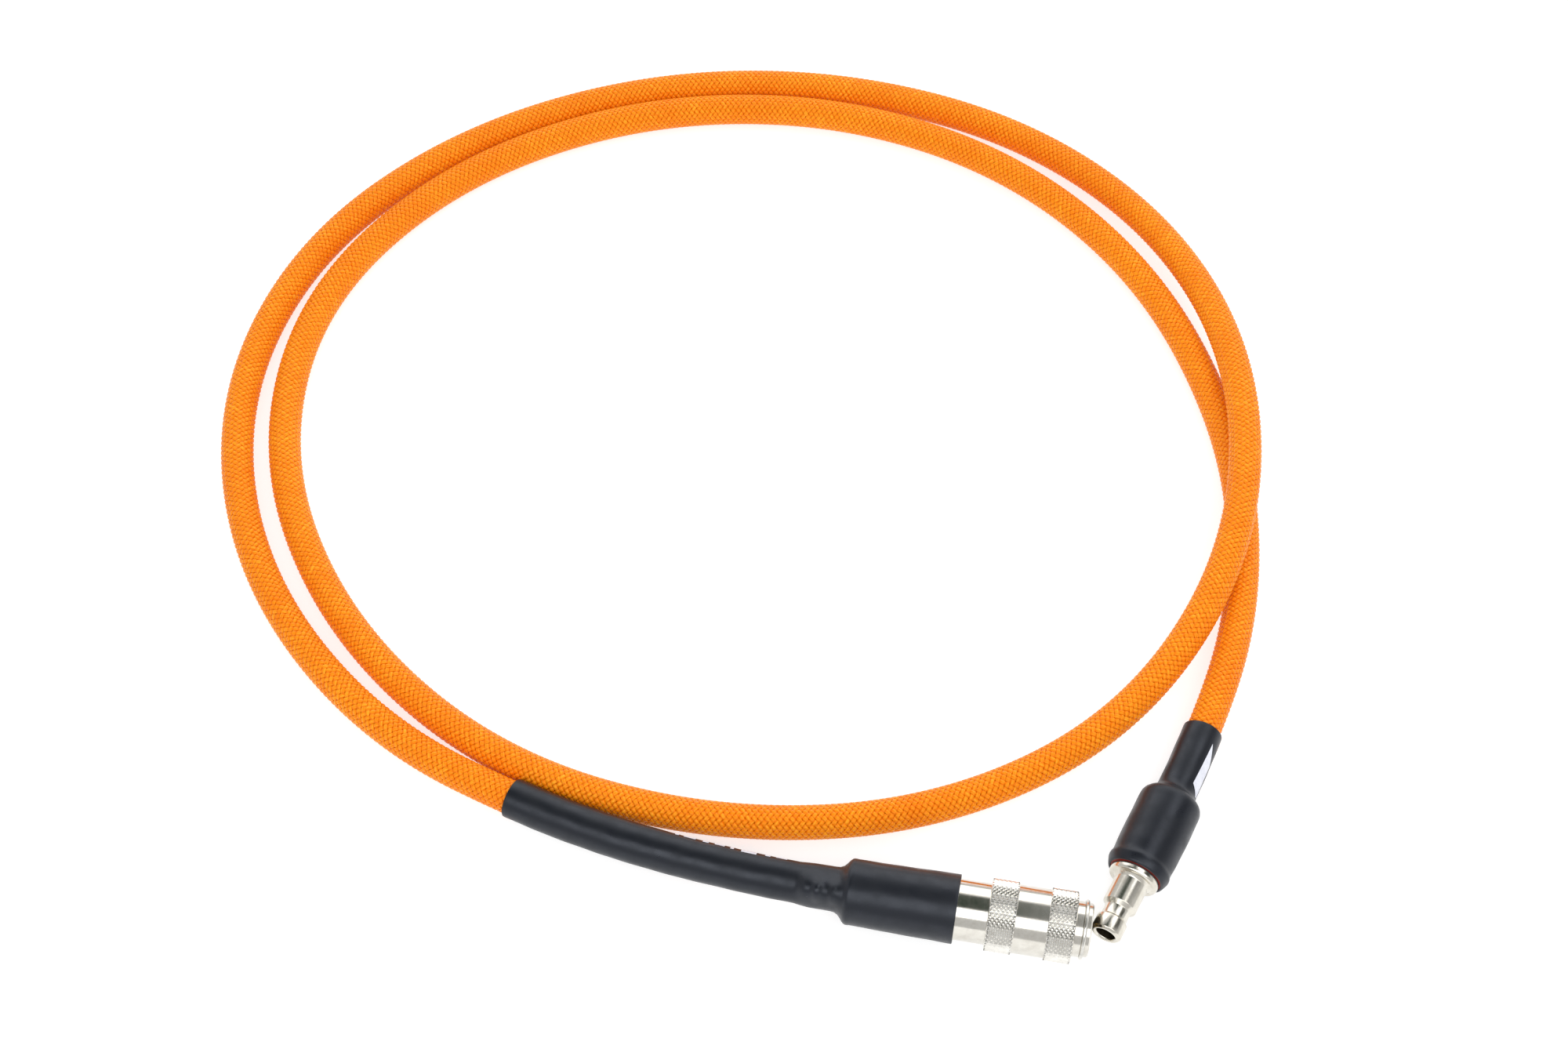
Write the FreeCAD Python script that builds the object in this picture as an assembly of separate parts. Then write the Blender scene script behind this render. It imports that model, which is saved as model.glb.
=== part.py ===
import FreeCAD, Part
import math
import os

# A braided air hose that ends in a quick coupling: a socket with a spring-loaded
# release sleeve on one end and the plug that fits it on the other. Millimetres, +Z up.
# The origin is on the surface that everything lies on, straight under the socket's mouth.
# The socket's axis is +X, out of its mouth.

vec = FreeCAD.Vector

# The hose: a liner inside a braided cover
hose_diameter = 8.0
liner_diameter = 6.4
liner_bore = 5.0
barb_grip = 0.25
barb_root_depth = 0.2
barb_pitch = 3.2
air_bore_radius = 1.7

# The plug, measured back from its tip
tip_radius = 3.6
tip_length = 4.3
tip_chamfer = 0.5
tip_bore_radius = 2.25
neck_radius = 3.0
neck_length = 3.4
neck_slope = 0.35
shank_radius = 3.95
shank_length = 6.9
flange_radius = 5.85
flange_length = 1.9
flange_round = 0.6
plug_root_radius = 2.95
washer_radius = 6.15
washer_thickness = 0.6
ferrule_radius = 6.7
ferrule_length = 17.9
ferrule_end_wall = 0.9
crimp_depth = 0.25
crimp_width = 1.4
crimp_count = 3
plug_barb_length = 16.0
plug_angle = 71.5
plug_tip_x = 3.3
plug_tip_y = -0.1

# Clearances
running_clearance = 0.05
socket_clearance = 0.07
wall_clearance = 0.1

# The socket's body, measured back from its mouth
rim_radius = 6.1
rim_length = 0.95
rim_chamfer = 0.3
ring_wire = 0.95
ring_outer_radius = 6.8
ring_gap_angle = 14.0
nose_radius = 6.28
nose_end = 11.3
body_waist_radius = 5.6
shoulder_start = 21.5
shoulder_radius = 6.9
shoulder_chamfer = 0.4
body_end = 37.0
mouth_chamfer = 0.5
flange_stand_off = 0.5
seat_start = 16.0
chamber_radius = 4.9
thread_radius = 5.35
thread_length = 8.0

# The locking balls
ball_radius = 1.6
ball_count = 4
pocket_clearance = 0.05
ball_clearance = 0.04

# The release sleeve
sleeve_travel = 1.8
sleeve_wall = 1.2
sleeve_waist_depth = 0.4
sleeve_stand_off = 1.55
front_band_length = 6.2
sleeve_waist_length = 7.1
rear_band_length = 6.3
sleeve_lip_length = 1.2
sleeve_chamfer = 0.35
ramp_slope = 1.0 / 3.0
spring_room = 0.3
sleeve_spring_wire = 0.8
sleeve_spring_turns = 6

# The seal that grips the plug, and the valve behind it
plug_seal_wire = 1.5
plug_seal_squeeze = 0.13
plug_seal_setback = 1.7
valve_travel = 2.4
stem_radius = 3.0
stem_flat = 2.5
stem_flat_count = 3
valve_seal_wire = 1.2
valve_seal_setback = 1.25
valve_flange_length = 1.0
valve_boss_radius = 2.2
valve_boss_length = 2.2
valve_spring_wire = 0.6
valve_spring_radius = 3.4
valve_spring_turns = 5

# The tail adapter, its gasket and the clamp on the hose
spigot_length = 7.5
gasket_thickness = 0.8
hex_flats = 11.9
hex_length = 7.7
collar_radius = 6.85
collar_length = 8.9
tail_barb_length = 17.6
hose_setback = 1.1
clamp_width = 6.5
clamp_thickness = 0.5
clamp_setback = 1.5
ear_width = 3.6
ear_height = 0.9
ear_wall = 0.5
ear_lean = 32.0

# The heat-shrink sleeves
shrink_wall = 0.7
shrink_front = 30.9
shrink_front_wall = 0.95
shrink_back_wall = 0.6
shrink_round = 1.6
socket_shrink_on_hose = 81.0
plug_shrink_on_hose = 39.5
plug_shrink_overlap = 0.2
plug_lip_radius = 6.2
lip_wall = 0.35
lip_length = 2.0

# The hose's route from the socket to the plug, in order: x, y and how high it is lifted off
# the surface. It makes two loops, and passes over itself at the lifted points near y = 130.
# An arc takes arc_share of the shorter run on each side of its point.
lead_out = 24.0
lead_in = 40.0
arc_share = 0.45
route = [
    (-124, 7, 1.0), (-173, 23, 0.4), (-213, 60, 0), (-232, 109, 0), (-225, 160, 0),
    (-194, 202, 0), (-148, 230, 0), (-96, 240, 0), (-44, 232, 0), (-2, 203, 4),
    (22, 156, 16), (25, 102, 16), (4, 55, 4), (-37, 24, 0), (-89, 12, 0),
    (-142, 19, 0), (-187, 48, 0), (-216, 92, 0), (-220, 143, 0), (-195, 189, 0),
    (-151, 220, 0), (-99, 231, 0), (-48, 221, 0), (-6, 190, 0), (21, 142, 0),
    (28, 97, 0.5),
]

# Worked out from the sizes above
hose_radius = hose_diameter / 2
barb_crest_radius = liner_bore / 2 + barb_grip
barb_root_radius = liner_bore / 2 - barb_root_depth
neck_end = tip_length + neck_length
flange_start = neck_end + shank_length
flange_end = flange_start + flange_length
washer_end = flange_end + washer_thickness
hose_in_plug = washer_end + ferrule_end_wall
ferrule_end = washer_end + ferrule_length
locked_depth = flange_start - flange_stand_off
plug_bulge_radius = ferrule_radius + shrink_wall
narrow_radius = hose_radius + shrink_wall

ball_station = locked_depth - tip_length - neck_length / 2
bore_radius = shank_radius + socket_clearance
bore_depth = locked_depth - tip_length + wall_clearance
seal_bore_radius = tip_radius + socket_clearance
seal_station = locked_depth - plug_seal_setback
sleeve_bore_radius = nose_radius + running_clearance
sleeve_counterbore = shoulder_radius + running_clearance
sleeve_radius = sleeve_counterbore + sleeve_wall
sleeve_waist_radius = sleeve_radius - sleeve_waist_depth
ramp_angle = math.atan(ramp_slope)
ball_reach = ball_radius + ball_clearance
ball_rest = sleeve_bore_radius - ball_reach * math.cos(ramp_angle)
ball_travel = sleeve_travel * ramp_slope
ring_station = rim_length + running_clearance + ring_wire / 2
groove_end = ring_station + ring_wire / 2 + running_clearance
sleeve_front = groove_end + sleeve_stand_off
sleeve_end = sleeve_front + front_band_length + sleeve_waist_length + rear_band_length
sleeve_step = nose_end + spring_room
poppet_front = locked_depth - valve_travel
valve_seal_station = seat_start + valve_seal_setback
valve_flange_end = valve_seal_station + valve_seal_wire / 2 + valve_flange_length
adapter_front = body_end - spigot_length
hex_start = body_end + gasket_thickness
collar_start = hex_start + hex_length
collar_end = collar_start + collar_length
hose_start = collar_end + hose_setback
clamp_start = hose_start + clamp_setback
clamp_end = clamp_start + clamp_width

# The sleeve and the plug's bulge are the thickest pieces, and both lie on the surface
socket_height = sleeve_radius
plug_height = plug_bulge_radius


def lathe(outline):
    # A solid of revolution about X from an outline of (distance along X, radius) points
    points = [vec(x, radius, 0) for x, radius in outline]
    face = Part.Face(Part.makePolygon(points + points[:1]))
    return face.revolve(vec(0, 0, 0), vec(1, 0, 0), 360)


def tube(start, end, inner, outer):
    return lathe([(start, inner), (start, outer), (end, outer), (end, inner)])


def bar(start, end, radius):
    return Part.makeCylinder(radius, end - start, vec(start, 0, 0), vec(1, 0, 0))


def torus(station, radius, wire):
    return Part.makeTorus(radius, wire / 2, vec(station, 0, 0), vec(1, 0, 0))


def round_rims(shape, rims):
    # Round the circular edges named by (distance along X, radius, size of the round)
    for station, radius, size in rims:
        found = [
            edge for edge in shape.Edges
            if isinstance(edge.Curve, Part.Circle)
            and abs(edge.Curve.Radius - radius) < 1e-4
            and abs(edge.Curve.Center.x - station) < 1e-4
        ]
        shape = shape.makeFillet(size, found)
    return shape


def coil_spring(start, end, radius, wire, turns):
    # An open helix about X whose wire just touches the planes at start and end
    height = end - start - wire
    helix = Part.makeHelix(height / turns, height, radius)
    circle = Part.Circle(vec(radius, 0, 0), vec(0, 1, 0), wire / 2).toShape()
    coil = Part.Wire(helix).makePipeShell([Part.Wire(circle)], True, True)
    coil.rotate(vec(0, 0, 0), vec(0, 1, 0), 90)
    coil.translate(vec(start + wire / 2, 0, 0))
    return coil


def barbs(start, end):
    # Outline points of a hose tail, from its root at start to its tapered tip at end
    points = []
    count = int((end - start) // barb_pitch)
    first = end - count * barb_pitch
    points.append((start, barb_root_radius))
    for index in range(count):
        crest = first + index * barb_pitch
        points.append((crest, barb_root_radius))
        points.append((crest, barb_crest_radius))
        points.append((crest + barb_pitch, barb_root_radius))
    return points


def place_socket(shape):
    # The socket is drawn from its mouth back along +X, so it is turned to face +X and lifted
    shape.rotate(vec(0, 0, 0), vec(0, 0, 1), 180)
    shape.translate(vec(0, 0, socket_height))
    return shape


def socket_frame(shape):
    # Bring a shape that is already in place back to where the socket is drawn
    shape.translate(vec(0, 0, -socket_height))
    shape.rotate(vec(0, 0, 0), vec(0, 0, 1), -180)
    return shape


def place_plug(shape):
    shape.rotate(vec(0, 0, 0), vec(0, 0, 1), plug_angle)
    shape.translate(vec(plug_tip_x, plug_tip_y, plug_height))
    return shape


def plug_frame(shape):
    # Bring a shape that is already in place back to where the plug is drawn
    shape.translate(vec(-plug_tip_x, -plug_tip_y, -plug_height))
    shape.rotate(vec(0, 0, 0), vec(0, 0, 1), -plug_angle)
    return shape


def route_points():
    toward_hose = vec(math.cos(math.radians(plug_angle)), math.sin(math.radians(plug_angle)), 0)
    plug_tip = vec(plug_tip_x, plug_tip_y, plug_height)
    points = [vec(-hose_start, 0, socket_height), vec(-hose_start - lead_out, 0, socket_height)]
    points += [vec(x, y, hose_radius + lift) for x, y, lift in route]
    points.append(plug_tip + toward_hose * (hose_in_plug + lead_in))
    points.append(plug_tip + toward_hose * hose_in_plug)
    return points


def route_edges(points, show=False):
    # Straight runs joined by tangent arcs, each as large as its two runs allow
    edges = []
    here = points[0]
    for before, corner, after in zip(points, points[1:], points[2:]):
        back = (before - corner).normalize()
        ahead = (after - corner).normalize()
        half_turn = (math.pi - back.getAngle(ahead)) / 2
        cut = arc_share * min(before.distanceToPoint(corner), after.distanceToPoint(corner))
        radius = cut / math.tan(half_turn)
        if show:
            print("radius", round(radius, 1), "turn", round(math.degrees(2 * half_turn), 1))
        start = corner + back * cut
        end = corner + ahead * cut
        inward = (back + ahead).normalize()
        middle = corner + inward * (radius / math.cos(half_turn) - radius)
        edges.append(Part.LineSegment(here, start).toShape())
        edges.append(Part.Arc(start, middle, end).toShape())
        here = end
    edges.append(Part.LineSegment(here, points[-1]).toShape())
    return edges


def stretch(edges, start, end):
    # The part of a chain of edges between two distances along it
    kept = []
    passed = 0.0
    for edge in edges:
        low = max(start - passed, 0.0)
        high = min(end - passed, edge.Length)
        if high > low:
            first = edge.getParameterByLength(low)
            last = edge.getParameterByLength(high)
            kept.append(edge.Curve.toShape(first, last))
        passed += edge.Length
    return kept


def sweep_tube(edges, inner, outer):
    # A pipe along a chain of edges, with a round section
    start = edges[0].valueAt(edges[0].FirstParameter)
    along = edges[0].tangentAt(edges[0].FirstParameter)
    path = Part.Wire(edges)
    pipes = []
    for radius in (outer, inner):
        ring = Part.Wire(Part.Circle(start, along, radius).toShape())
        pipes.append(path.makePipeShell([ring], True, True))
    pipe = pipes[0].cut(pipes[1])
    expected = math.pi * (outer ** 2 - inner ** 2) * path.Length
    print("pipe", round(pipe.Volume, 1), "section x length", round(expected, 1))
    return pipe


def make_coupling_body():
    groove_floor = ring_outer_radius - ring_wire
    thread_bore = thread_radius + running_clearance
    chamber_front = seat_start + chamber_radius - seal_bore_radius
    thread_start = body_end - thread_length
    body = lathe([
        (0, bore_radius + mouth_chamfer),
        (0, rim_radius - rim_chamfer),
        (rim_chamfer, rim_radius),
        (rim_length, rim_radius),
        (rim_length, groove_floor),
        (groove_end, groove_floor),
        (groove_end, nose_radius),
        (nose_end, nose_radius),
        (nose_end, body_waist_radius),
        (shoulder_start, body_waist_radius),
        (shoulder_start, shoulder_radius - shoulder_chamfer),
        (shoulder_start + shoulder_chamfer, shoulder_radius),
        (body_end, shoulder_radius),
        (body_end, thread_bore),
        (thread_start, thread_bore),
        (thread_start, chamber_radius),
        (chamber_front, chamber_radius),
        (seat_start, seal_bore_radius),
        (bore_depth, seal_bore_radius),
        (bore_depth, bore_radius),
        (mouth_chamfer, bore_radius),
    ])
    seal_groove = tube(
        seal_station - plug_seal_wire / 2 - running_clearance,
        seal_station + plug_seal_wire / 2 + running_clearance,
        seal_bore_radius - wall_clearance,
        tip_radius - plug_seal_squeeze + plug_seal_wire,
    )
    body = body.cut(seal_groove)
    pocket_radius = ball_radius + pocket_clearance
    for index in range(ball_count):
        angle = math.radians(360 * index / ball_count)
        outward = vec(0, math.cos(angle), math.sin(angle))
        centre = vec(ball_station, 0, 0) + outward * ball_rest
        body = body.cut(Part.makeSphere(pocket_radius, centre))
        body = body.cut(Part.makeCylinder(pocket_radius, nose_radius, centre, outward))
    return body


def make_retaining_ring():
    ring = torus(ring_station, ring_outer_radius - ring_wire / 2, ring_wire)
    gap_width = 2 * ring_outer_radius * math.tan(math.radians(ring_gap_angle / 2))
    corner = vec(ring_station - ring_wire, -gap_width / 2, -2 * ring_outer_radius)
    return ring.cut(Part.makeBox(2 * ring_wire, gap_width, 2 * ring_outer_radius, corner))


def make_lock_ball(index):
    angle = math.radians(360 * index / ball_count)
    centre = vec(ball_station, ball_rest * math.cos(angle), ball_rest * math.sin(angle))
    return Part.makeSphere(ball_radius, centre)


def make_release_sleeve():
    band_end = sleeve_front + front_band_length
    waist_end = band_end + sleeve_waist_length
    recess_radius = ball_rest + ball_travel + ball_reach
    ramp_start = ball_station + ball_reach * math.sin(ramp_angle)
    ramp_end = ramp_start - (recess_radius - sleeve_bore_radius) / ramp_slope
    chamfer = sleeve_chamfer
    return lathe([
        (sleeve_front, sleeve_bore_radius),
        (sleeve_front, sleeve_radius - chamfer),
        (sleeve_front + chamfer, sleeve_radius),
        (band_end - chamfer, sleeve_radius),
        (band_end, sleeve_waist_radius),
        (waist_end, sleeve_waist_radius),
        (waist_end + chamfer, sleeve_radius),
        (sleeve_end - chamfer, sleeve_radius),
        (sleeve_end, sleeve_radius - chamfer),
        (sleeve_end, sleeve_counterbore),
        (sleeve_step, sleeve_counterbore),
        (sleeve_step, sleeve_bore_radius),
        (ramp_start, sleeve_bore_radius),
        (ramp_end, recess_radius),
        (sleeve_front + sleeve_lip_length, recess_radius),
        (sleeve_front + sleeve_lip_length, sleeve_bore_radius),
    ])


def make_sleeve_spring():
    room = (body_waist_radius + sleeve_counterbore) / 2
    return coil_spring(
        sleeve_step, shoulder_start, room, sleeve_spring_wire, sleeve_spring_turns
    )


def make_plug_seal():
    inner = tip_radius - plug_seal_squeeze
    return torus(seal_station, inner + plug_seal_wire / 2, plug_seal_wire)


def valve_seal_radius():
    # The ring just meets the 45 degree seat
    seat_radius = seal_bore_radius + valve_seal_setback
    return seat_radius - valve_seal_wire / math.sqrt(2) - running_clearance


def make_valve_seal():
    return torus(valve_seal_station, valve_seal_radius(), valve_seal_wire)


def make_valve_poppet():
    groove_floor = valve_seal_radius() - valve_seal_wire / 2
    groove_front = valve_seal_station - valve_seal_wire / 2
    groove_back = valve_seal_station + valve_seal_wire / 2
    lip_radius = groove_floor + wall_clearance
    lip_start = groove_front - 3 * wall_clearance
    flange = chamber_radius - 3 * wall_clearance
    boss_end = valve_flange_end + valve_boss_length
    poppet = lathe([
        (poppet_front, 0),
        (poppet_front, stem_radius - mouth_chamfer),
        (poppet_front + mouth_chamfer, stem_radius),
        (lip_start, stem_radius),
        (lip_start, lip_radius),
        (groove_front, lip_radius),
        (groove_front, groove_floor),
        (groove_back, groove_floor),
        (groove_back, flange),
        (valve_flange_end, flange),
        (valve_flange_end, valve_boss_radius),
        (boss_end, valve_boss_radius),
        (boss_end, 0),
    ])
    flat_depth = lip_start - wall_clearance - poppet_front
    for index in range(stem_flat_count):
        corner = vec(poppet_front, -stem_radius, stem_flat)
        flat = Part.makeBox(flat_depth, 2 * stem_radius, stem_radius, corner)
        flat.rotate(vec(0, 0, 0), vec(1, 0, 0), 360 * index / stem_flat_count)
        poppet = poppet.cut(flat)
    return poppet


def make_valve_spring():
    return coil_spring(
        valve_flange_end, adapter_front, valve_spring_radius, valve_spring_wire, valve_spring_turns
    )


def make_tail_gasket():
    return tube(body_end, hex_start, thread_radius + running_clearance, shoulder_radius)


def make_tail_adapter():
    barb_end = collar_end + tail_barb_length
    round_parts = lathe(
        [(adapter_front, air_bore_radius), (adapter_front, thread_radius)]
        + [(hex_start, thread_radius), (hex_start, body_waist_radius)]
        + [(collar_start, body_waist_radius), (collar_start, collar_radius)]
        + [(collar_end, collar_radius)]
        + barbs(collar_end, barb_end)
        + [(barb_end, air_bore_radius)]
    )
    corners = []
    for index in range(6):
        angle = math.radians(60 * index)
        reach = hex_flats / 2 / math.cos(math.radians(30))
        corners.append(vec(hex_start, reach * math.cos(angle), reach * math.sin(angle)))
    hexagon = Part.Face(Part.makePolygon(corners + corners[:1]))
    nut = hexagon.extrude(vec(hex_length, 0, 0)).cut(bar(hex_start, collar_start, thread_radius))
    return round_parts.fuse(nut).removeSplitter()


def raised_box(start, end, width, low, high):
    # A block that stands out from the clamp, leaning towards -Y once the socket is placed
    block = Part.makeBox(end - start, width, high - low, vec(start, -width / 2, low))
    block.rotate(vec(0, 0, 0), vec(1, 0, 0), -ear_lean)
    return block


def make_ear_clamp():
    band_radius = hose_radius + clamp_thickness
    band = tube(clamp_start, clamp_end, hose_radius, band_radius)
    ear = raised_box(clamp_start, clamp_end, ear_width, 0, band_radius + ear_height)
    hollow = raised_box(
        clamp_start, clamp_end, ear_width - 2 * ear_wall, 0, band_radius + ear_height - ear_wall
    )
    arch = ear.cut(hollow).cut(bar(clamp_start, clamp_end, hose_radius))
    return band.fuse(arch).removeSplitter()


def make_coupling_heat_shrink(edges):
    over_clamp = hose_radius + clamp_thickness + running_clearance
    step_end = clamp_start + shrink_wall
    clamp_tail = clamp_end + 2 * shrink_wall
    tail_end = clamp_tail + shrink_wall
    collar_cover = shoulder_radius + shrink_back_wall
    cover = lathe([
        (shrink_front, shoulder_radius),
        (shrink_front, shoulder_radius + shrink_front_wall),
        (collar_end + running_clearance, collar_cover),
        (step_end, over_clamp + shrink_wall / 2),
        (clamp_end, over_clamp + shrink_wall / 2),
        (clamp_tail, narrow_radius),
        (tail_end, narrow_radius),
        (tail_end, hose_radius),
        (clamp_tail, hose_radius),
        (clamp_end + running_clearance, over_clamp),
        (clamp_start, over_clamp),
        (collar_end + running_clearance, shoulder_radius),
    ])
    cover = round_rims(cover, [(collar_end + running_clearance, collar_cover, shrink_round)])
    room = running_clearance
    ear_top = hose_radius + clamp_thickness + ear_height + room
    bump = raised_box(
        clamp_start - shrink_wall, clamp_end + shrink_wall, ear_width + 2 * shrink_wall,
        0, ear_top + shrink_wall,
    )
    bump = bump.makeFillet(shrink_wall, bump.Edges)
    past_start = clamp_start - 2 * shrink_wall
    past_end = clamp_end + 2 * shrink_wall
    bump = bump.cut(bar(past_start, past_end, over_clamp))
    ear_room = raised_box(clamp_start - room, clamp_end + room, ear_width + 2 * room, 0, ear_top)
    ear_room = ear_room.cut(bar(past_start, past_end, hose_radius))
    cover = cover.fuse(bump).cut(ear_room)
    on_hose = stretch(edges, tail_end - hose_start, socket_shrink_on_hose)
    tail = socket_frame(sweep_tube(on_hose, hose_radius, narrow_radius))
    return cover.fuse(tail).removeSplitter()


def make_plug_nipple():
    barb_end = hose_in_plug + plug_barb_length
    nipple = lathe(
        [(0, tip_bore_radius), (0, tip_radius - tip_chamfer), (tip_chamfer, tip_radius)]
        + [(tip_length - neck_slope, tip_radius), (tip_length, neck_radius)]
        + [(neck_end - neck_slope, neck_radius), (neck_end, shank_radius)]
        + [(flange_start, shank_radius), (flange_start, flange_radius)]
        + [(flange_end, flange_radius), (flange_end, plug_root_radius)]
        + [(hose_in_plug, plug_root_radius)]
        + barbs(hose_in_plug, barb_end)
        + [(barb_end, air_bore_radius), (flange_end, air_bore_radius)]
        + [(flange_start, tip_bore_radius)]
    )
    rims = [(flange_start, flange_radius, flange_round), (flange_end, flange_radius, flange_round)]
    return round_rims(nipple, rims)


def make_plug_washer():
    return tube(flange_end, washer_end, plug_root_radius + running_clearance, washer_radius)


def make_plug_ferrule():
    front_bore = plug_root_radius + running_clearance
    ferrule = lathe([
        (washer_end, front_bore),
        (washer_end, ferrule_radius),
        (ferrule_end, ferrule_radius),
        (ferrule_end, hose_radius),
        (hose_in_plug, hose_radius),
        (hose_in_plug, front_bore),
    ])
    pitch = (ferrule_end - hose_in_plug) / (crimp_count + 1)
    for index in range(crimp_count):
        start = hose_in_plug + pitch * (index + 1) - crimp_width / 2
        crimp = tube(start, start + crimp_width, ferrule_radius - crimp_depth, 2 * ferrule_radius)
        ferrule = ferrule.cut(crimp)
    return ferrule


def make_plug_heat_shrink(edges):
    lip_start = flange_end - plug_shrink_overlap
    bulge_end = ferrule_end + 2 * shrink_wall
    shoulder_end = bulge_end + 2 * shrink_wall
    cover = lathe([
        (lip_start, plug_lip_radius),
        (lip_start, plug_lip_radius + lip_wall),
        (lip_start + lip_length, plug_bulge_radius),
        (bulge_end, plug_bulge_radius),
        (shoulder_end, narrow_radius),
        (shoulder_end, hose_radius),
        (ferrule_end, hose_radius),
        (ferrule_end, ferrule_radius),
        (washer_end, ferrule_radius),
        (washer_end, plug_lip_radius),
    ])
    cover = round_rims(cover, [
        (lip_start + lip_length, plug_bulge_radius, shrink_round),
        (bulge_end, plug_bulge_radius, shrink_round / 2),
    ])
    on_hose = stretch(edges, bulge_end - hose_in_plug, plug_shrink_on_hose)
    tail = plug_frame(sweep_tube(on_hose, hose_radius, narrow_radius))
    return cover.fuse(tail).removeSplitter()


def write(name, shape):
    solids = len(shape.Solids)
    print(name, "solids", solids, "valid", shape.isValid(), "volume", round(shape.Volume, 1))
    shape.exportStep("parts/" + name + ".step")


os.makedirs("parts", exist_ok=True)
points = route_points()
from_socket = route_edges(points, show=True)
from_plug = route_edges(points[::-1])
print("hose length", round(sum(edge.Length for edge in from_socket), 1))

socket_pieces = {
    "coupling_body": make_coupling_body(),
    "retaining_ring": make_retaining_ring(),
    "release_sleeve": make_release_sleeve(),
    "sleeve_spring": make_sleeve_spring(),
    "plug_seal": make_plug_seal(),
    "valve_poppet": make_valve_poppet(),
    "valve_seal": make_valve_seal(),
    "valve_spring": make_valve_spring(),
    "tail_gasket": make_tail_gasket(),
    "tail_adapter": make_tail_adapter(),
    "ear_clamp": make_ear_clamp(),
    "coupling_heat_shrink": make_coupling_heat_shrink(from_socket),
}
for index in range(ball_count):
    socket_pieces["lock_ball_" + str(index + 1)] = make_lock_ball(index)
for name, shape in socket_pieces.items():
    write(name, place_socket(shape))

plug_pieces = {
    "plug_nipple": make_plug_nipple(),
    "plug_washer": make_plug_washer(),
    "plug_ferrule": make_plug_ferrule(),
    "plug_heat_shrink": make_plug_heat_shrink(from_plug),
}
for name, shape in plug_pieces.items():
    write(name, place_plug(shape))

write("hose_tube", sweep_tube(from_socket, liner_bore / 2, liner_diameter / 2))
write("hose_braid", sweep_tube(from_socket, liner_diameter / 2, hose_radius))
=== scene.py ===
import math
import bpy
import bmesh
import numpy as np
from mathutils import Matrix, Vector


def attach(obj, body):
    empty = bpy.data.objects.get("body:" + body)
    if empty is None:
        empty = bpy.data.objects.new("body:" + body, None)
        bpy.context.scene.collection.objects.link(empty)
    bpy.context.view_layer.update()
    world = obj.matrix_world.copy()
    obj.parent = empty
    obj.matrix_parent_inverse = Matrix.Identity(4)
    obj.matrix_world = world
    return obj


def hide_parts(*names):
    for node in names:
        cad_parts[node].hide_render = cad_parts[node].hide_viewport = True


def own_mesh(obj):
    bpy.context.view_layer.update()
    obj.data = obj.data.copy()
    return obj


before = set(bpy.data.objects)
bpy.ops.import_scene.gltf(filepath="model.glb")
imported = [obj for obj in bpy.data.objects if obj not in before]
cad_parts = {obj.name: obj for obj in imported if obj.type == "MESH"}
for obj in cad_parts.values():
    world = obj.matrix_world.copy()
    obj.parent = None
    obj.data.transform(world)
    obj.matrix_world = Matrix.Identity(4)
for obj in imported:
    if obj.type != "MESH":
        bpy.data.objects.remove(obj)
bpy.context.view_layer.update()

scene = bpy.context.scene
mm = 0.001              # metres
socketHeight = 0.00815  # the socket's axis above the table
print("frame loaded")

camera = {
    "place": (-0.0282, -0.2338, 0.5406),
    "turn": (32.0, 0.0, 10.0),   # degrees
    "lens": 58.78,
    "sensor": 36.0,
}


def addCamera():
    data = bpy.data.cameras.new("camera")
    data.lens = camera["lens"]
    data.sensor_width = camera["sensor"]
    data.clip_start = 0.01
    cameraObject = bpy.data.objects.new("camera", data)
    cameraObject.location = camera["place"]
    cameraObject.rotation_euler = [math.radians(angle) for angle in camera["turn"]]
    scene.collection.objects.link(cameraObject)
    scene.camera = cameraObject


addCamera()
print("camera placed")

# the hose's route from the socket's tail to the plug, in metres
hose = {
    "diameter": 0.008,
    "length": 1.44,
    "coreRadius": 0.00345,
    "coreSides": 24,
    "coreStep": 0.002,
    "plugPast": 0.018,   # how far the plug's tip is past the hose's end
    "route": [
        (-0.0555, 0.0, 0.00815), (-0.0795, 0.0, 0.00815), (-0.124, 0.007, 0.005),
        (-0.173, 0.023, 0.0044), (-0.213, 0.060, 0.004), (-0.232, 0.109, 0.004),
        (-0.225, 0.160, 0.004), (-0.194, 0.202, 0.004), (-0.148, 0.230, 0.004),
        (-0.096, 0.240, 0.004), (-0.044, 0.232, 0.004), (-0.002, 0.203, 0.006),
        (0.022, 0.156, 0.0124), (0.025, 0.102, 0.0124), (0.004, 0.055, 0.006),
        (-0.037, 0.024, 0.004), (-0.089, 0.012, 0.004), (-0.142, 0.019, 0.004),
        (-0.187, 0.048, 0.004), (-0.216, 0.092, 0.004), (-0.220, 0.143, 0.004),
        (-0.195, 0.189, 0.004), (-0.151, 0.220, 0.004), (-0.099, 0.231, 0.004),
        (-0.048, 0.221, 0.004), (-0.006, 0.190, 0.004), (0.021, 0.142, 0.004),
        (0.028, 0.097, 0.0045), (0.0217, 0.0549, 0.0074), (0.0090, 0.0170, 0.0074),
    ],
}


def followRoute(places):
    # the route's smooth line, as many close points
    curve = bpy.data.curves.new("route", "CURVE")
    curve.dimensions = "3D"
    curve.resolution_u = 40
    spline = curve.splines.new("NURBS")
    spline.points.add(len(places) - 1)
    for point, place in zip(spline.points, places):
        point.co = (*place, 1.0)
    spline.order_u = 3
    spline.use_endpoint_u = True
    holder = bpy.data.objects.new("route", curve)
    scene.collection.objects.link(holder)
    bpy.context.view_layer.update()
    mesh = bpy.data.meshes.new_from_object(holder)
    line = np.array([vertex.co for vertex in mesh.vertices])
    bpy.data.objects.remove(holder)
    bpy.data.meshes.remove(mesh)
    return line


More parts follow.
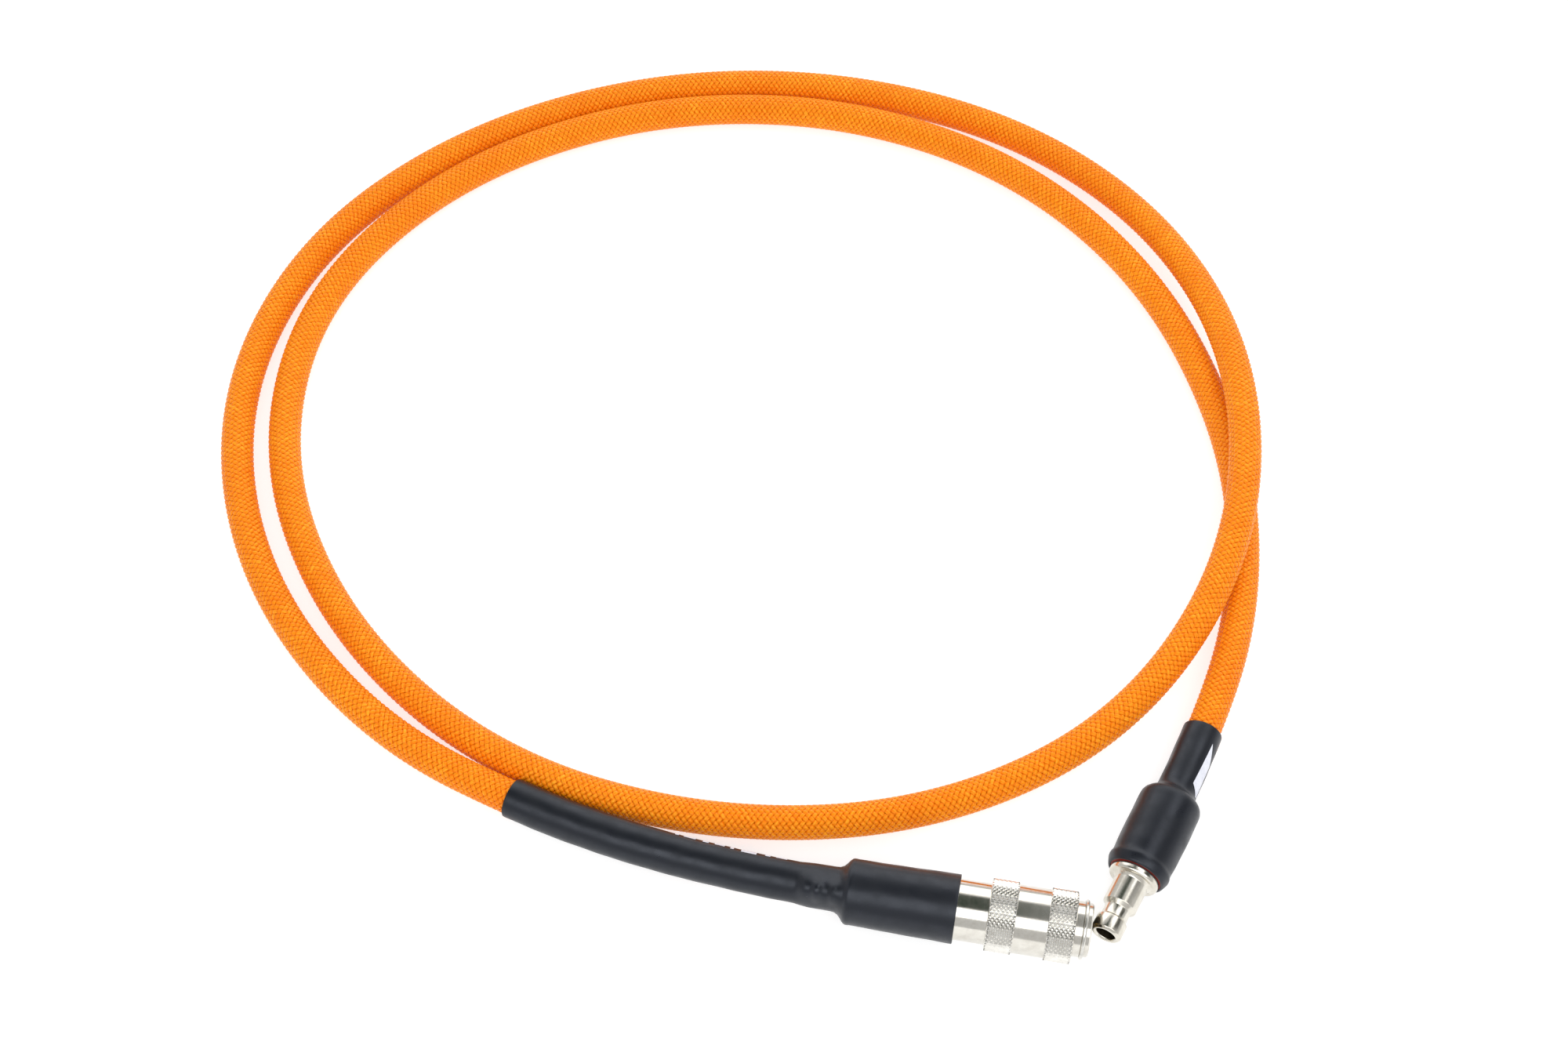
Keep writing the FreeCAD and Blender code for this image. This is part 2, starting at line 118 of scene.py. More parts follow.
routeLine = followRoute(hose["route"])
routeSteps = np.linalg.norm(np.diff(routeLine, axis=0), axis=1)
routeDistance = np.concatenate([[0.0], np.cumsum(routeSteps)])
hoseEnd = routeDistance[-1]
print("hose length", round(hoseEnd, 4))


def spot(distance):
    # places on the hose's line; past either end the line goes straight on
    distance = np.atleast_1d(np.asarray(distance, float))
    inside = np.clip(distance, 0.0, hoseEnd)
    place = np.stack([np.interp(inside, routeDistance, routeLine[:, k]) for k in range(3)], -1)
    start = routeLine[1] - routeLine[0]
    end = routeLine[-1] - routeLine[-2]
    place = place + np.minimum(distance, 0.0)[:, None] * start / np.linalg.norm(start)
    place = place + np.maximum(distance - hoseEnd, 0.0)[:, None] * end / np.linalg.norm(end)
    return place


def directions(distance):
    # along the hose, sideways and up, at each distance, read a little before and after it
    reach = 0.002
    along = spot(distance + reach) - spot(distance - reach)
    along /= np.linalg.norm(along, axis=1)[:, None]
    side = np.cross(along, (0.0, 0.0, 1.0))
    side /= np.linalg.norm(side, axis=1)[:, None]
    return along, side, np.cross(side, along)


def onHose(distance, angle, radius):
    # a point beside the hose's line: angle 0 is sideways and a quarter turn is up
    along, side, up = directions(distance)
    out = np.cos(angle)[:, None] * side + np.sin(angle)[:, None] * up
    return spot(distance) + np.asarray(radius)[:, None] * out


def addPiece(name, bm, body, material, smoothAngle=None):
    mesh = bpy.data.meshes.new(name)
    bm.normal_update()
    bm.to_mesh(mesh)
    bm.free()
    return addMesh(name, mesh, body, material, smoothAngle)


def addMesh(name, mesh, body, material, smoothAngle=None):
    mesh.polygons.foreach_set("use_smooth", [True] * len(mesh.polygons))
    if smoothAngle:
        mesh.set_sharp_from_angle(angle=math.radians(smoothAngle))
    mesh.materials.append(material)
    piece = bpy.data.objects.new(name, mesh)
    scene.collection.objects.link(piece)
    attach(piece, body)
    return piece


def skin(stations, radii, placeAt):
    # a circle extruded from station to station, with a UV map of turns and metres
    sides = radii.shape[1]
    bm = bmesh.new()
    turn = bm.verts.layers.int.new("turn")
    ring = bm.verts.layers.int.new("ring")
    made = bmesh.ops.create_circle(bm, segments=sides, radius=1.0)["verts"]
    for index, vertex in enumerate(made):
        vertex[turn] = index
    angles = np.arange(sides) * 2 * math.pi / sides
    edges = list(bm.edges)
    for index, station in enumerate(stations):
        if index:
            grown = bmesh.ops.extrude_edge_only(bm, edges=edges)["geom"]
            made = [item for item in grown if isinstance(item, bmesh.types.BMVert)]
            fresh = set(made)
            edges = [
                item for item in grown
                if isinstance(item, bmesh.types.BMEdge) and set(item.verts) <= fresh
            ]
        places = placeAt(station, angles, radii[index])
        for vertex in made:
            vertex[ring] = index
            vertex.co = places[vertex[turn]]
    uv = bm.loops.layers.uv.new("wrap")
    for face in bm.faces:
        wraps = {vertex[turn] for vertex in face.verts} >= {0, sides - 1}
        for loop in face.loops:
            column = loop.vert[turn]
            if wraps and column == 0:
                column = sides
            loop[uv].uv = (column / sides, stations[loop.vert[ring]])
    return bm


def hosePlace(station, angles, radius):
    return onHose(np.full(len(angles), station), angles, radius)


def closeEnds(bm):
    bmesh.ops.holes_fill(bm, edges=[edge for edge in bm.edges if edge.is_boundary], sides=0)
    bmesh.ops.recalc_face_normals(bm, faces=bm.faces)


def colour(red, green, blue):
    # a screen colour, 0 to 255, as the linear colour a shader wants
    linear = []
    for value in (red, green, blue):
        value = value / 255
        linear.append(value / 12.92 if value <= 0.04045 else ((value + 0.055) / 1.055) ** 2.4)
    return (*linear, 1.0)


def newGroup(name, inputs, outputs):
    group = bpy.data.node_groups.new(name, "ShaderNodeTree")
    for socketName, kind, value in inputs:
        socket = group.interface.new_socket(socketName, in_out="INPUT", socket_type=kind)
        if value is not None:
            socket.default_value = value
    for socketName, kind in outputs:
        group.interface.new_socket(socketName, in_out="OUTPUT", socket_type=kind)
    return group, group.nodes.new("NodeGroupInput"), group.nodes.new("NodeGroupOutput")


def mathNode(tree, operation, first, second):
    node = tree.nodes.new("ShaderNodeMath")
    node.operation = operation
    for socket, value in zip(node.inputs, (first, second)):
        if isinstance(value, bpy.types.NodeSocket):
            tree.links.new(value, socket)
        else:
            socket.default_value = value
    return node.outputs[0]


def noiseNode(tree, vector, scale, detail=3.0, roughness=0.5):
    node = tree.nodes.new("ShaderNodeTexNoise")
    node.inputs["Detail"].default_value = detail
    node.inputs["Roughness"].default_value = roughness
    for socket, value in ((node.inputs["Vector"], vector), (node.inputs["Scale"], scale)):
        if isinstance(value, bpy.types.NodeSocket):
            tree.links.new(value, socket)
        else:
            socket.default_value = value
    return node.outputs["Fac"]


def rangeNode(tree, value, low, high, toLow, toHigh):
    node = tree.nodes.new("ShaderNodeMapRange")
    tree.links.new(value, node.inputs["Value"])
    for name, number in (("From Min", low), ("From Max", high), ("To Min", toLow), ("To Max", toHigh)):
        node.inputs[name].default_value = number
    return node.outputs["Result"]


def mixColours(tree, factor, first, second):
    node = tree.nodes.new("ShaderNodeMix")
    node.data_type = "RGBA"
    tree.links.new(factor, node.inputs["Factor"])
    for socket, value in ((node.inputs[6], first), (node.inputs[7], second)):
        if isinstance(value, bpy.types.NodeSocket):
            tree.links.new(value, socket)
        else:
            socket.default_value = value
    return node.outputs[2]


def makeTurnMarks():
    # fine rings left by turning about X, with a few rubs across them
    group, inside, outside = newGroup(
        "turnMarks",
        [("Vector", "NodeSocketVector", None), ("Rings", "NodeSocketFloat", 9000.0)],
        [("Marks", "NodeSocketFloat"), ("Rubs", "NodeSocketFloat")],
    )
    split = group.nodes.new("ShaderNodeSeparateXYZ")
    group.links.new(inside.outputs["Vector"], split.inputs[0])
    rings = group.nodes.new("ShaderNodeTexNoise")
    rings.noise_dimensions = "1D"
    rings.inputs["Scale"].default_value = 1.0
    rings.inputs["Detail"].default_value = 2.0
    ringPlace = mathNode(group, "MULTIPLY", split.outputs["X"], inside.outputs["Rings"])
    group.links.new(ringPlace, rings.inputs["W"])
    rubs = noiseNode(group, inside.outputs["Vector"], 420.0, 5.0, 0.65)
    group.links.new(rings.outputs["Fac"], outside.inputs["Marks"])
    group.links.new(rubs, outside.inputs["Rubs"])
    return group


def makeSpeckle():
    # a fine grain with slow patches, for moulded and shrunk plastic and rubber
    group, inside, outside = newGroup(
        "speckle",
        [("Vector", "NodeSocketVector", None), ("Grain", "NodeSocketFloat", 9000.0),
         ("Patches", "NodeSocketFloat", 160.0)],
        [("Fine", "NodeSocketFloat"), ("Slow", "NodeSocketFloat")],
    )
    fine = noiseNode(group, inside.outputs["Vector"], inside.outputs["Grain"], 2.0)
    slow = noiseNode(group, inside.outputs["Vector"], inside.outputs["Patches"], 4.0, 0.6)
    group.links.new(fine, outside.inputs["Fine"])
    group.links.new(slow, outside.inputs["Slow"])
    return group


turnMarks = makeTurnMarks()
speckle = makeSpeckle()


def newMaterial(name, roughness, metallic=0.0):
    material = bpy.data.materials.new(name)
    material.use_nodes = True
    tree = material.node_tree
    shader = tree.nodes["Principled BSDF"]
    shader.inputs["Roughness"].default_value = roughness
    shader.inputs["Metallic"].default_value = metallic
    return material, tree, shader


def groupNode(tree, group, vector, **values):
    node = tree.nodes.new("ShaderNodeGroup")
    node.node_tree = group
    tree.links.new(vector, node.inputs["Vector"])
    for name, value in values.items():
        node.inputs[name].default_value = value
    return node


def objectPlace(tree, turn=0.0):
    # the point on the object, turned about Z so that X runs along the piece
    source = tree.nodes.new("ShaderNodeTexCoord")
    mapping = tree.nodes.new("ShaderNodeMapping")
    mapping.inputs["Rotation"].default_value = (0.0, 0.0, math.radians(-turn))
    tree.links.new(source.outputs["Object"], mapping.inputs["Vector"])
    return mapping.outputs["Vector"]


def addBump(tree, shader, height, strength, distance):
    bump = tree.nodes.new("ShaderNodeBump")
    bump.inputs["Strength"].default_value = strength
    bump.inputs["Distance"].default_value = distance
    tree.links.new(height, bump.inputs["Height"])
    tree.links.new(bump.outputs["Normal"], shader.inputs["Normal"])


def makeMetal(name, light, dark, low, high, turn=0.0, bumpStrength=0.12):
    # plated or bare turned metal: roughness runs from low to high over the rubs
    material, tree, shader = newMaterial(name, low, 1.0)
    marks = groupNode(tree, turnMarks, objectPlace(tree, turn))
    tint = rangeNode(tree, marks.outputs["Rubs"], 0.35, 0.7, 0.0, 1.0)
    tree.links.new(mixColours(tree, tint, colour(*light), colour(*dark)), shader.inputs["Base Color"])
    rough = rangeNode(tree, marks.outputs["Rubs"], 0.3, 0.75, low, high)
    tree.links.new(rough, shader.inputs["Roughness"])
    addBump(tree, shader, marks.outputs["Marks"], bumpStrength, 0.00002)
    return material


def makePlastic(
    name, light, dark, low, high, grain=9000.0, patches=160.0, bumpStrength=0.25, specular=0.5,
    gloss=(255, 255, 255)
):
    material, tree, shader = newMaterial(name, low)
    shader.inputs["Specular IOR Level"].default_value = specular
    shader.inputs["Specular Tint"].default_value = colour(*gloss)
    grains = groupNode(tree, speckle, objectPlace(tree), Grain=grain, Patches=patches)
    tint = rangeNode(tree, grains.outputs["Slow"], 0.3, 0.7, 0.0, 1.0)
    tree.links.new(mixColours(tree, tint, colour(*light), colour(*dark)), shader.inputs["Base Color"])
    rough = rangeNode(tree, grains.outputs["Slow"], 0.3, 0.7, low, high)
    tree.links.new(rough, shader.inputs["Roughness"])
    addBump(tree, shader, grains.outputs["Fine"], bumpStrength, 0.00003)
    return material


def makeYarnMaterial():
    # plaited yarn: fine fibres along each yarn, streaked lighter in a painted highlight colour, with
    # painted shade, deeper and redder, where it dives under another
    material, tree, shader = newMaterial("yarn", 0.38)
    uv = tree.nodes.new("ShaderNodeUVMap")
    uv.uv_map = "yarn"
    stretch = tree.nodes.new("ShaderNodeMapping")
    stretch.inputs["Scale"].default_value = (340.0, 7.0, 1.0)
    tree.links.new(uv.outputs["UV"], stretch.inputs["Vector"])
    fibre = noiseNode(tree, stretch.outputs["Vector"], 1.0, 3.0, 0.55)
    height = tree.nodes.new("ShaderNodeAttribute")
    height.attribute_name = "height"
    slow = groupNode(tree, speckle, objectPlace(tree), Grain=5200.0, Patches=45.0)
    # painted shade: where the yarn rides low under its crossing yarn, its colour goes to a deep
    # red-orange
    depth = rangeNode(tree, height.outputs["Fac"], 0.1, 0.85, 0.0, 1.0)
    body = mixColours(tree, depth, colour(206, 70, 0), colour(244, 134, 4))
    # painted highlight: streaks along the fibres are mixed towards a bright yellow-orange highlight
    # colour
    fresh = rangeNode(tree, fibre, 0.45, 0.72, 0.0, 0.75)
    lit = mixColours(tree, fresh, body, colour(255, 182, 44))
    patch = rangeNode(tree, slow.outputs["Slow"], 0.35, 0.7, 0.0, 0.4)
    tree.links.new(mixColours(tree, patch, lit, colour(232, 108, 2)), shader.inputs["Base Color"])
    shader.inputs["Sheen Weight"].default_value = 0.06
    shader.inputs["Sheen Roughness"].default_value = 0.4
    shader.inputs["Sheen Tint"].default_value = colour(255, 170, 60)
    shader.inputs["Specular IOR Level"].default_value = 0.5
    shader.inputs["Specular Tint"].default_value = colour(255, 214, 140)
    addBump(tree, shader, fibre, 0.55, 0.00006)
    return material


plugTurn = 71.5   # degrees from the socket's direction to the plug's
materials = {
    "nickel": makeMetal("nickel", (222, 219, 211), (206, 202, 193), 0.11, 0.19),
    "plugNickel": makeMetal("plugNickel", (224, 220, 210), (208, 203, 191), 0.17, 0.27, plugTurn),
    "knurl": makeMetal("knurl", (240, 238, 232), (220, 217, 210), 0.12, 0.2, 0.0, 0.03),
    "ringSteel": makeMetal("ringSteel", (222, 220, 214), (196, 194, 188), 0.16, 0.3),
    "springSteel": makeMetal("springSteel", (190, 190, 190), (150, 150, 152), 0.25, 0.45),
    "ballSteel": makeMetal("ballSteel", (226, 226, 226), (206, 206, 208), 0.06, 0.14, 0.0, 0.02),
    # painted shade: a dark brown-grey metal for the inside of the plug's hole, standing in for the
    # shade down the hole
    "boreShade": makeMetal("boreShade", (70, 62, 48), (38, 34, 28), 0.5, 0.7, plugTurn),
    "brass": makeMetal("brass", (214, 178, 102), (186, 146, 74), 0.22, 0.4),
    "shrink": makePlastic(
        "shrink", (28, 30, 36), (20, 22, 27), 0.27, 0.44, 7000.0, 260.0, 0.3, 0.42, (230, 237, 250)
    ),
    "rubber": makePlastic("rubber", (30, 30, 31), (22, 22, 23), 0.5, 0.7),
    "redWasher": makePlastic("redWasher", (150, 30, 14), (110, 18, 8), 0.45, 0.6),
    # the lining's darker red-orange is partly its own colour and partly painted shade for the gaps
    # between the yarns
    "liner": makePlastic("liner", (206, 78, 10), (182, 58, 8), 0.6, 0.75, 5200.0, 300.0, 0.4),
    "print": makePlastic("print", (228, 230, 238), (212, 214, 226), 0.4, 0.55, 12000.0, 500.0, 0.15),
    "yarn": makeYarnMaterial(),
}
print("materials made")


def buildHoseCore():
    # the hose's lining tube and the inside of the braid, as one closed tube along the route; its
    # darker red-orange is partly painted shade seen in the gaps between the yarns
    stations = np.linspace(0.0, hoseEnd, int(hoseEnd / hose["coreStep"]))
    radii = np.full((len(stations), hose["coreSides"]), hose["coreRadius"])
    bm = skin(stations, radii, hosePlace)
    closeEnds(bm)
    core = addPiece("hoseCore", bm, "hose_assembly", materials["liner"])
    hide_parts("hose_tube", "hose_braid")
    return core


# the plaited cover: two sets of yarns wound opposite ways, one over and one under
braid = {
    "carriers": 12,          # in each direction
    "lap": 0.0174,           # metres of hose for one turn of a yarn
    "startAt": 0.077,
    "stopBefore": 0.0355,
    "middleRadius": 0.00366,
    "lift": 0.0002,
    "halfWidth": 0.0006,
    "halfThickness": 0.00027,
    "samples": 3,            # rings of points from one crossing to the next
    "perPiece": 3,           # yarns in one mesh
    "fibreShift": 1.7,       # keeps one yarn's fibres unlike the next one's
    "section": [(-1.0, -0.2), (-0.52, 0.72), (0.52, 0.72), (1.0, -0.2), (0.0, -0.8)],
}


def yarnPoints(carrier, way):
    # section points along one yarn, and how high it rides, from one crossing to the next
    crossing = braid["lap"] / (2 * braid["carriers"])
    stop = hoseEnd - braid["stopBefore"]
    count = int((stop - braid["startAt"]) / crossing * braid["samples"])
    distance = braid["startAt"] + np.arange(count) / braid["samples"] * crossing
    angle = way * 2 * math.pi * distance / braid["lap"]
    angle += 2 * math.pi * carrier / braid["carriers"]
    wave = way * np.cos(math.pi * distance / crossing)
    middle = onHose(distance, angle, braid["middleRadius"] + braid["lift"] * wave)
    outward = middle - spot(distance)
    outward /= np.linalg.norm(outward, axis=1)[:, None]
    across = np.cross(outward, np.gradient(middle, axis=0))
    across /= np.linalg.norm(across, axis=1)[:, None]
    section = braid["section"] + braid["section"][:1]
    rows = [
        middle + across * (wide * braid["halfWidth"]) + outward * (high * braid["halfThickness"])
        for wide, high in section
    ]
    return np.stack(rows), np.tile((wave + 1) / 2, len(section))


def buildYarns(name, carriers, way):
    # a few yarns in one mesh: each is a grid rolled into a flattened tube and closed
    yarnParts = [yarnPoints(carrier, way) for carrier in carriers]
    bm = bmesh.new()
    bm.loops.layers.uv.new("yarn")
    for rows, height in yarnParts:
        bmesh.ops.create_grid(
            bm, x_segments=rows.shape[1] - 1, y_segments=rows.shape[0] - 1, calc_uvs=True
        )
    mesh = bpy.data.meshes.new(name)
    bm.to_mesh(mesh)
    bm.free()
    places = np.concatenate([rows.reshape(-1, 3) for rows, height in yarnParts])
    mesh.vertices.foreach_set("co", places.ravel())
    heights = np.concatenate([height for rows, height in yarnParts])
    attribute = mesh.attributes.new("height", "FLOAT", "POINT")
    attribute.data.foreach_set("value", heights)
    corners = np.zeros(len(mesh.loops) * 2, np.float32)
    mesh.uv_layers["yarn"].data.foreach_get("uv", corners)
    corners = corners.reshape(len(yarnParts), -1, 2)
    corners[:, :, 1] += np.array(carriers)[:, None] * braid["fibreShift"]
    mesh.uv_layers["yarn"].data.foreach_set("uv", corners.ravel())
    bm = bmesh.new()
    bm.from_mesh(mesh)
    bmesh.ops.remove_doubles(bm, verts=bm.verts, dist=0.000001)
    closeEnds(bm)
    bm.to_mesh(mesh)
    bm.free()
    return addMesh(name, mesh, "hose_assembly", materials["yarn"])


hoseCore = buildHoseCore()
for way in (1, -1):
    for first in range(0, braid["carriers"], braid["perPiece"]):
        carriers = range(first, first + braid["perPiece"])
        label = "yarns" + ("Right" if way > 0 else "Left") + str(first // braid["perPiece"] + 1)
        buildYarns(label, carriers, way)
print("hose and braid made")

# heat-shrink sleeves, as (distance in mm, radius in mm) outside and then inside
couplingShrink = {
    "sides": 96,
    "outside": [
        (136.5, 4.45), (136.35, 4.66), (135.9, 4.7), (66.5, 4.7), (64.6, 4.9), (63.0, 5.02),
        (58.2, 5.05), (57.2, 5.15), (56.4, 5.55), (55.7, 6.3), (55.2, 6.95), (54.8, 7.32),
        (54.4, 7.5), (54.0, 7.53), (53.4, 7.47), (50.0, 7.5), (44.0, 7.6), (30.35, 7.85),
        (30.15, 7.8), (30.1, 7.6),
    ],
    "inside": [
        (30.1, 7.1), (30.3, 6.96), (54.0, 6.92), (54.8, 6.6), (55.6, 5.6), (56.6, 4.72),
        (64.0, 4.7), (65.5, 4.3), (68.0, 4.15), (136.3, 4.15), (136.5, 4.25),
    ],
    # the bump over the clamp's ear: spread and height are given outside and then inside
    "ear": {
        "from": 56.5, "to": 63.8, "rise": 1.4, "fall": 2.8, "angle": 122.0,
        "spread": (30.0, 34.0), "height": (1.14, 1.22),
    },
    "knuckles": [(57.8, 0.85, 0.75), (61.4, 1.05, 0.9)],   # where, how long, how high
    "knuckleSpread": 22.0,
    "step": 0.5,
}
plugShrink = {
    "sides": 96,
    "outside": [
        (57.5, 4.45), (57.35, 4.66), (56.9, 4.7), (40.6, 4.72), (39.7, 4.84), (39.0, 5.15),
        (38.4, 5.75), (37.7, 6.55), (37.1, 7.0), (36.4, 7.26), (35.6, 7.34), (28.0, 7.38),
        (22.5, 7.28), (20.6, 7.16), (19.9, 7.13), (19.3, 7.2), (18.8, 7.36), (18.4, 7.4),
        (18.0, 7.34), (17.4, 7.12), (16.8, 6.88), (16.45, 6.7), (16.3, 6.5),
    ],
    "inside": [
        (16.32, 6.2), (16.5, 6.08), (16.9, 6.2), (17.1, 6.25), (17.4, 6.72), (35.2, 6.72),
        (36.4, 6.5), (38.4, 4.4), (39.5, 4.15), (57.3, 4.15), (57.5, 4.25),
    ],
    "ear": None,
    "step": 0.5,
}
# how unevenly both sleeves shrank, in mm
shrinkWaves = {"long": 0.035, "short": 0.02}


def fillIn(profile, step):
    # more rings on the long runs of a profile, evenly between its points
    profile = np.array(profile)
    filled = [profile[0]]
    for here, there in zip(profile, profile[1:]):
        count = max(1, round(abs(there[0] - here[0]) / step))
        for index in range(1, count + 1):
            filled.append(here + (there - here) * (index / count))
    return np.array(filled)


def ramp(values, low, high):
    # 0 up to low, 1 from high on and smooth between them
    share = np.clip((values - low) / (high - low), 0.0, 1.0)
    return share * share * (3 - 2 * share)


def shrinkRadii(sizes, profile, wall):
    # the radius at every ring and side of the outside, wall 0, or the inside, wall 1
    at = profile[:, :1]
    angles = np.arange(sizes["sides"])[None, :] * 2 * math.pi / sizes["sides"]
    radii = profile[:, 1:] + 0.0 * angles
    ear = sizes["ear"]
    if ear:
        off = (angles - math.radians(ear["angle"]) + math.pi) % (2 * math.pi) - math.pi
        across = np.exp(-(off / math.radians(ear["spread"][wall])) ** 2)
        rises = ramp(at, ear["from"] - ear["rise"], ear["from"])
        falls = ramp(at, ear["to"], ear["to"] + ear["fall"])
        radii += ear["height"][wall] * across * rises * (1 - falls)
    if wall:
        return radii
    if ear:
        across = np.exp(-(off / math.radians(sizes["knuckleSpread"])) ** 2)
        for where, long, high in sizes["knuckles"]:
            radii += high * across * np.exp(-((at - where) / long) ** 2)
    longWave = np.sin(0.31 * at + 2 * angles) * np.sin(0.083 * at - angles + 1.0)
    shortWave = np.sin(0.77 * at - 3 * angles + 0.6)
    return radii + shrinkWaves["long"] * longWave + shrinkWaves["short"] * shortWave


def buildShrink(name, sizes, distanceOf, node):
    # the outside from the hose's end to the fitting's, the inside back again, and a bridge to close it
    outside = fillIn(sizes["outside"], sizes["step"])
    inside = fillIn(sizes["inside"], 4 * sizes["step"])
    radii = np.concatenate([
        shrinkRadii(sizes, outside, 0), shrinkRadii(sizes, inside, 1),
    ]) * mm
    stations = distanceOf(np.concatenate([outside[:, 0], inside[:, 0]]))
    bm = skin(stations, radii, hosePlace)
    ends = [edge for edge in bm.edges if edge.is_boundary]
    bmesh.ops.bridge_loops(bm, edges=ends)
    bmesh.ops.recalc_face_normals(bm, faces=bm.faces)
    piece = addPiece(name, bm, "hose_assembly", materials["shrink"], 40)
    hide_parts(node)


def fromSocket(stations):
    # distance along the hose's line of a station behind the socket's mouth
    return stations * mm + hose["route"][0][0]


def fromPlug(stations):
    # distance along the hose's line of a station behind the plug's tip
    return hoseEnd + hose["plugPast"] - stations * mm


buildShrink("couplingShrink", couplingShrink, fromSocket, "coupling_heat_shrink")
buildShrink("plugShrink", plugShrink, fromPlug, "plug_heat_shrink")
print("heat-shrink made")

# plain white marks printed on the sleeves, by distance in mm and angle in degrees
printMarks = {
    "radius": 4.77,
    "thickness": 0.15,
    "patch": [(39.4, 168.0), (41.9, 127.0), (53.5, 134.0), (48.6, 164.0)],
    "dashFoot": 20.0,
    "dashes": [
        # distance, length, angle of the top
        (69.5, 2.6, 41.0), (73.4, 1.2, 44.0), (76.6, 3.6, 50.0), (82.0, 0.8, 46.0),
        (84.2, 2.4, 42.0), (88.0, 1.4, 44.0), (91.2, 2.8, 42.0), (95.2, 0.9, 42.0),
    ],
}


def buildMark(bm, corners, distanceOf):
    # a thin slab that lies on the sleeve between four corners
    corners = np.array(corners)
    radius = np.array([printMarks["radius"] * mm])
    grid = bmesh.ops.create_grid(bm, x_segments=16, y_segments=8, size=0.5)["verts"]
    for vertex in grid:
        across, along = vertex.co.x + 0.5, vertex.co.y + 0.5
        near = corners[0] * (1 - across) + corners[3] * across
        far = corners[1] * (1 - across) + corners[2] * across
        at, angle = near * (1 - along) + far * along
        vertex.co = onHose(distanceOf(np.array([at])), np.radians([angle]), radius)[0]
    faces = list({face for vertex in grid for face in vertex.link_faces})
    centre = spot(distanceOf(corners[:1, 0]))[0]
    face = faces[0]
    face.normal_update()
    if face.normal.dot(face.calc_center_median() - Vector(centre)) < 0:
        bmesh.ops.reverse_faces(bm, faces=faces)
    bmesh.ops.solidify(bm, geom=faces, thickness=printMarks["thickness"] * mm)


def buildMarks(name, marks, distanceOf):
    bm = bmesh.new()
    for corners in marks:
        buildMark(bm, corners, distanceOf)
    bmesh.ops.recalc_face_normals(bm, faces=bm.faces)
    addPiece(name, bm, "hose_assembly", materials["print"], 40)


foot = printMarks["dashFoot"]
dashes = [
    [(at, foot), (at, top), (at + length, top), (at + length, foot)]
    for at, length, top in printMarks["dashes"]
]
buildMarks("plugMark", [printMarks["patch"]], fromPlug)
buildMarks("couplingMarks", dashes, fromSocket)
print("printed marks made")

# turned pieces, as (distance behind the mouth or tip, radius) outlines in millimetres
releaseSleeve = {
    "steps": 96,
    "rimBevel": 0.09,
    "outline": [
        (3.55, 6.33), (3.55, 7.35), (3.85, 7.75), (9.75, 7.75), (16.85, 7.75), (22.85, 7.75),
        (23.15, 7.4), (23.15, 6.95), (11.6, 6.95), (11.6, 6.33), (8.62, 6.33), (6.57, 7.01),
        (4.75, 7.01), (4.75, 6.33),
    ],
    "bands": [(3.72, 9.68), (16.95, 23.0)],
    "bandRadius": 7.94,
    "diamondsAround": 46,
    "diamondRows": 6,
    "diamondInset": 0.28,
    "diamondHeight": 0.21,
    "rimLength": 0.12,
    "rimRadius": 7.6,
}
plugNipple = {
    "tip": (0.0033, -0.0001, 0.0074),   # metres
    "steps": 96,
    "boreRadius": 2.29,                 # what lies inside this, past boreFrom, gets the painted shade
    "boreFrom": 0.8,
    "rimBevel": 0.1,
    "outline": [
        (0.0, 2.6), (0.0, 3.1), (0.5, 3.6), (3.8, 3.6), (4.35, 3.05), (6.85, 3.0), (7.75, 3.95),
        (13.9, 3.95), (14.6, 4.6), (14.6, 5.35), (14.8, 5.68), (15.2, 5.85), (16.1, 5.85),
        (16.4, 5.8), (16.5, 5.7), (16.5, 2.95), (18.0, 2.95), (18.0, 2.75), (21.2, 2.3),
        (21.2, 2.75), (24.4, 2.3), (24.4, 2.75), (27.6, 2.3), (27.6, 2.75), (30.8, 2.3),
        (30.8, 2.75), (34.0, 2.3), (34.0, 1.7), (16.5, 1.7), (14.6, 2.25), (0.35, 2.25),
    ],
}
socketPlace = Matrix.Translation((0.0, 0.0, socketHeight)) @ Matrix.Rotation(math.pi, 4, "Z")
plugPlace = Matrix.Translation(plugNipple["tip"]) @ Matrix.Rotation(math.radians(plugTurn), 4, "Z")


def turnedPiece(sizes):
    # an outline spun about the X axis, with its rims softened
    bm = bmesh.new()
    points = [bm.verts.new((at * mm, 0.0, radius * mm)) for at, radius in sizes["outline"]]
    for here, there in zip(points, points[1:] + points[:1]):
        bm.edges.new((here, there))
    bmesh.ops.spin(
        bm, geom=list(bm.verts) + list(bm.edges), cent=(0.0, 0.0, 0.0), axis=(1.0, 0.0, 0.0),
        angle=2 * math.pi, steps=sizes["steps"], use_merge=True,
    )
    bmesh.ops.remove_doubles(bm, verts=bm.verts, dist=0.0000005)
    bmesh.ops.recalc_face_normals(bm, faces=bm.faces)
    rims = [edge for edge in bm.edges if edge.calc_face_angle(0.0) > math.radians(18)]
    bmesh.ops.bevel(
        bm, geom=rims, offset=sizes["rimBevel"] * mm, segments=2, profile=0.5,
        affect="EDGES", material=-1, clamp_overlap=True,
    )
    return bm


